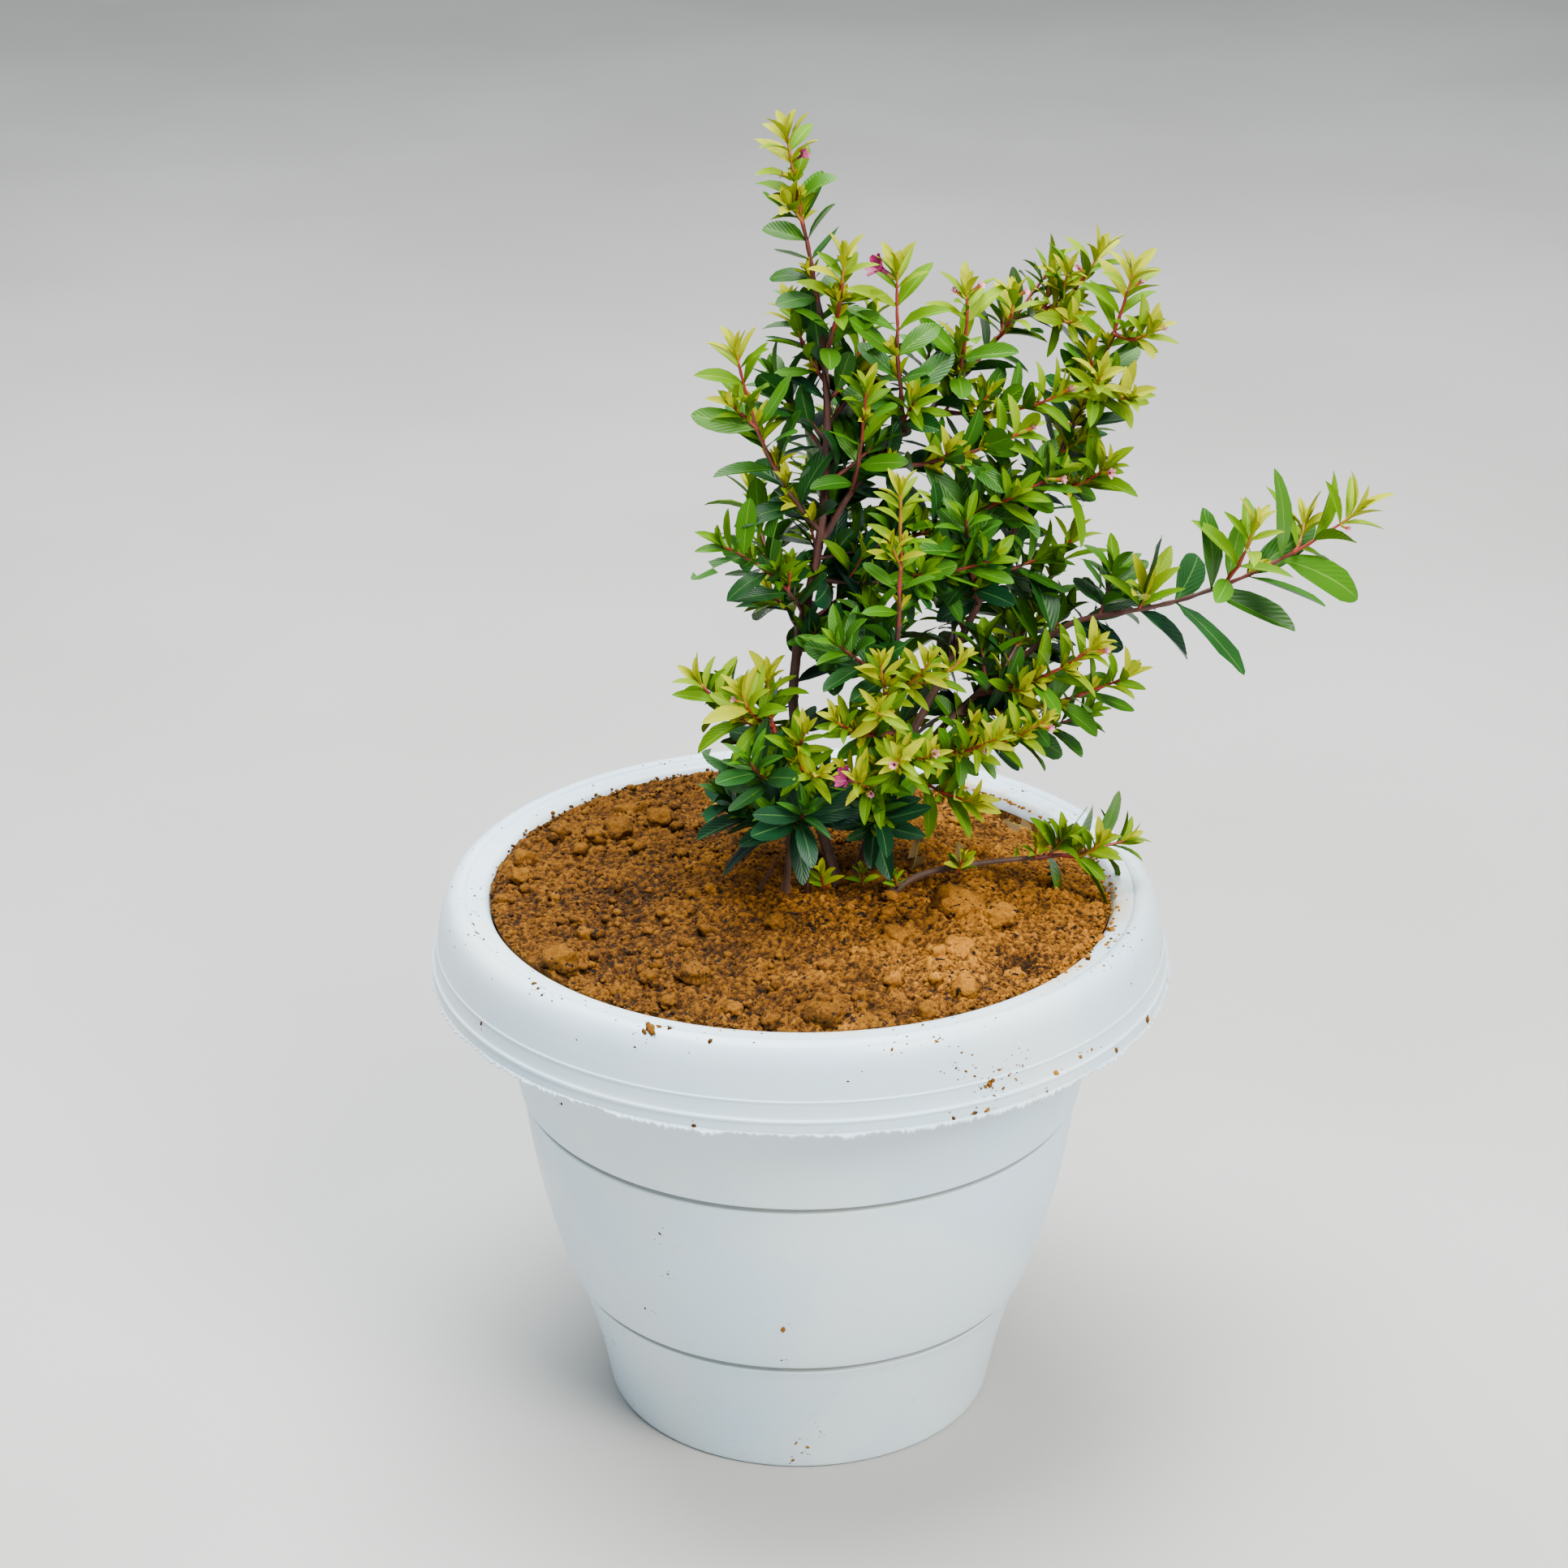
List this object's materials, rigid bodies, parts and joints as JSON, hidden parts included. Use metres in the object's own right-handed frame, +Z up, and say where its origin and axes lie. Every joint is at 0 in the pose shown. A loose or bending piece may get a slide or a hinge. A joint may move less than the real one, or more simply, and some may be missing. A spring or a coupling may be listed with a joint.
{
  "type": "potted mexican heather",
  "caption": "Small evergreen flowering shrub with thin woody stems and narrow paired leaves, growing in soil in a round banded plastic flower pot.",
  "frame": {"origin": "centre of the pot's flat underside, on the surface that it stands on", "axes": "+Z up along the pot's axis, +X to the side that the longest shoot reaches out to, -Y towards the front of the plant as pictured"},
  "size_m": [0.2677, 0.2102, 0.3819],
  "materials": {
    "white_plastic": "white, semi-gloss, a little dusty",
    "soil": "dry crumbly orange-brown clay soil",
    "bark": "dark reddish-brown thin bark",
    "foliage": "glossy green leaves, yellow-green young tips, small pink flowers"
  },
  "bodies": {
    "root": {"bough_far": "bark", "bough_front": "bark", "bough_right": "bark", "bough_upper": "bark", "foliage_back_a": "foliage", "foliage_back_b": "foliage", "foliage_back_c": "foliage", "foliage_back_d": "foliage", "foliage_back_low_a": "foliage", "foliage_back_low_b": "foliage", "foliage_back_low_c": "foliage", "foliage_collar_left": "foliage", "foliage_collar_right": "foliage", "foliage_crest": "foliage", "foliage_crest_back": "foliage", "foliage_crest_left": "foliage", "foliage_crown_right": "foliage", "foliage_crown_upper": "foliage", "foliage_far": "foliage", "foliage_front_a": "foliage", "foliage_front_c": "foliage", "foliage_front_e": "foliage", "foliage_front_f": "foliage", "foliage_front_h": "foliage", "foliage_front_i": "foliage", "foliage_front_low": "foliage", "foliage_front_right": "foliage", "foliage_front_star": "foliage", "foliage_inner": "foliage", "foliage_leader": "foliage", "foliage_left_front": "foliage", "foliage_left_high": "foliage", "foliage_left_low": "foliage", "foliage_left_mid": "foliage", "foliage_low_tip": "foliage", "foliage_mid_a": "foliage", "foliage_mid_b": "foliage", "foliage_mid_c": "foliage", "foliage_mid_d": "foliage", "foliage_mid_up": "foliage", "foliage_right_a": "foliage", "foliage_right_b": "foliage", "foliage_right_c": "foliage", "foliage_right_d": "foliage", "foliage_skirt_back": "foliage", "foliage_skirt_front": "foliage", "foliage_skirt_left": "foliage", "foliage_skirt_mid": "foliage", "pot": "white_plastic", "soil": "soil", "stem_left": "bark", "stem_low": "bark", "stem_main": "bark", "stem_second": "bark"}
  },
  "joints": []
}
